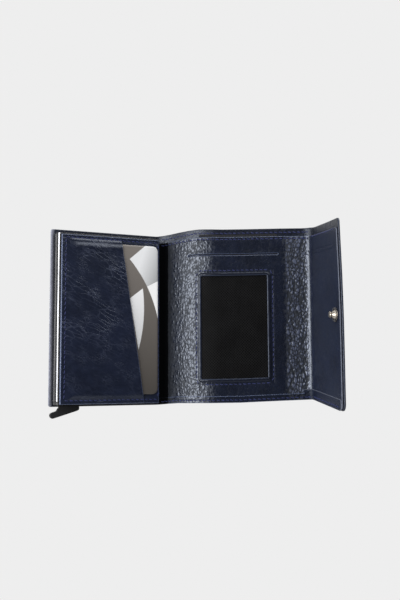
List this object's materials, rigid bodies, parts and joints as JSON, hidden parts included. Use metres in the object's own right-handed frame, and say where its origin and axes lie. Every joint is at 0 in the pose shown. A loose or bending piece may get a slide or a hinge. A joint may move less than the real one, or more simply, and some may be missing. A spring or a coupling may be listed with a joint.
{
  "type": "folding card holder with pop-up card case",
  "caption": "Folding leather wallet around a pop-up aluminium card case, open, with a pocketed card, mesh window, banknote compartment, eject lever and snap flap.",
  "frame": {"origin": "on the outer face of the back leather, at the left flank and the middle height of the card case", "axes": "+X from the case towards the opened cover, +Y towards the mouth of the case, +Z out of the face that carries the pocket"},
  "size_m": [0.1435, 0.1086, 0.0936],
  "materials": {
    "aluminium": "satin",
    "black_plastic": "matt",
    "felt": "matt",
    "steel": "satin",
    "outer_leather": "grained",
    "lining_leather": "grained",
    "flap_leather": "satin",
    "smooth_leather": "satin",
    "divider_fabric": "matt",
    "window_net": "matt",
    "nickel": "polished",
    "card_plastic": "satin"
  },
  "bodies": {
    "case": {"case_shell": "aluminium", "case_end_cap": "black_plastic", "case_mouth_ring": "black_plastic", "card_rail_left": "black_plastic", "card_rail_right": "black_plastic", "friction_pad_front": "felt", "friction_pad_back": "felt", "lever_pin": "steel", "back_leather": "outer_leather", "back_stiffener": "lining_leather", "snap_socket": "nickel", "socket_washer": "nickel", "front_panel": "smooth_leather", "pocket_leather": "smooth_leather"},
    "lever": {"eject_lever": "black_plastic"},
    "card": {"pocket_card": "card_plastic"},
    "spine": {"spine_outer": "outer_leather", "spine_lining": "lining_leather"},
    "cover_root": {"root_outer": "outer_leather", "root_lining": "lining_leather"},
    "cover": {"cover_outer": "outer_leather", "note_divider": "divider_fabric", "cover_lining": "lining_leather", "cover_hem": "lining_leather", "window_binding": "smooth_leather", "window_mesh": "window_net"},
    "side": {"side_outer": "outer_leather", "side_lining": "lining_leather"},
    "flap": {"flap_outer": "outer_leather", "flap_lining": "flap_leather", "snap_stud": "nickel", "snap_cap": "nickel"}
  },
  "joints": [
    {"name": "spine_fold", "type": "hinge", "parent": "case", "child": "spine", "pos_m": [0.0624, 0, 0.00055], "axis": [0, -1, 0], "range_deg": [-27.6, 62.4]},
    {"name": "cover_fold", "type": "hinge", "parent": "spine", "child": "cover_root", "pos_m": [0.07556, 0, 0.00743], "axis": [0, -1, 0], "range_deg": [-53.5, 36.5]},
    {"name": "cover_bend", "type": "hinge", "parent": "cover_root", "child": "cover", "pos_m": [0.07798, 0, 0.02291], "axis": [0, -1, 0], "range_deg": [0, 59.2]},
    {"name": "side_fold", "type": "hinge", "parent": "cover", "child": "side", "pos_m": [0.12399, 0, 0.0414], "axis": [0, -1, 0], "range_deg": [-1.1, 88.9]},
    {"name": "flap_fold", "type": "hinge", "parent": "side", "child": "flap", "pos_m": [0.14097, 0, 0.04861], "axis": [0, -1, 0], "range_deg": [-82, 8]},
    {"name": "eject_lever_pivot", "type": "hinge", "parent": "case", "child": "lever", "pos_m": [0.01, -0.045, 0.0062], "axis": [0, 0, 1], "range_deg": [0, 30]},
    {"name": "pocket_card_slide", "type": "slide", "parent": "case", "child": "card", "axis": [-1, 0, 0], "range_m": [-0.0135, 0]}
  ]
}
